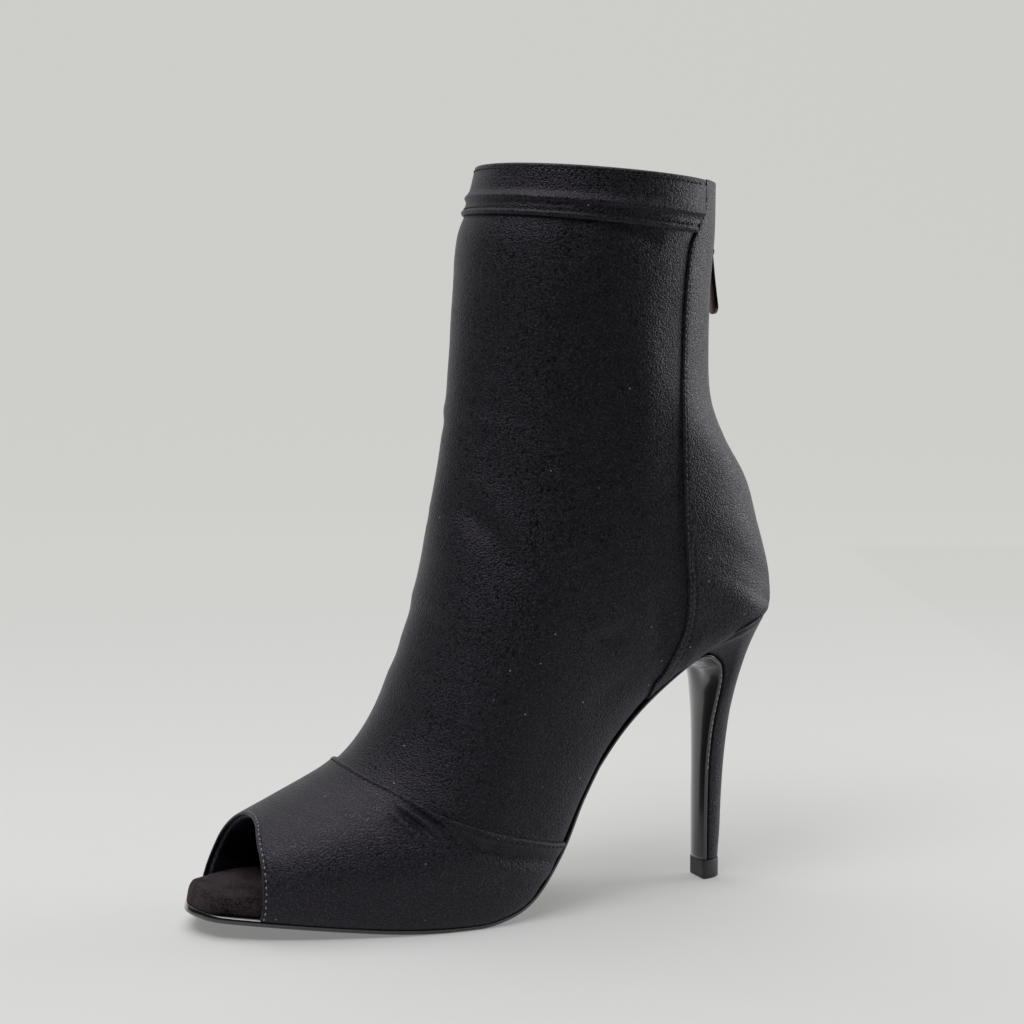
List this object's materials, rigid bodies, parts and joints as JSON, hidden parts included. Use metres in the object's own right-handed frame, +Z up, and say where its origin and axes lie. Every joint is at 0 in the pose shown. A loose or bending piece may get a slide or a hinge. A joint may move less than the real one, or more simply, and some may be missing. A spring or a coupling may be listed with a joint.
{
  "type": "ankle boot",
  "caption": "Open-toed ankle boot with a tall thin covered heel, a turned band at its collar and a zip up the back of its shaft.",
  "frame": {"origin": "on the floor, under the middle of the length and width", "axes": "+X towards the toe, +Y towards the outer side of the foot, +Z up"},
  "size_m": [0.2134, 0.0828, 0.2541],
  "materials": {
    "shaft_fabric": "black stretch satin",
    "panel_fabric": "black satin",
    "band_fabric": "black satin, folded",
    "heel_fabric": "black satin glued over the heel",
    "sock_suede": "napped black sock lining",
    "sole_edge": "polished black",
    "tip_rubber": "satin",
    "zip_tape": "woven tape with coil teeth",
    "zip_metal": "dark bronze plating"
  },
  "bodies": {
    "boot": {"upper": "shaft_fabric", "vamp": "panel_fabric", "back_panel_outer": "panel_fabric", "back_panel_inner": "panel_fabric", "collar_band": "band_fabric", "insole": "sock_suede", "outsole": "sole_edge", "heel": "heel_fabric", "heel_tip": "tip_rubber", "zip": "zip_tape", "zip_slider": "zip_metal"},
    "pull": {"zip_pull": "zip_metal"}
  },
  "joints": [
    {"name": "pull_hinge", "type": "hinge", "parent": "boot", "child": "pull", "pos_m": [-0.08418, 0.00437, 0.226], "axis": [0, 1, 0], "range_deg": [-8, 144]}
  ]
}
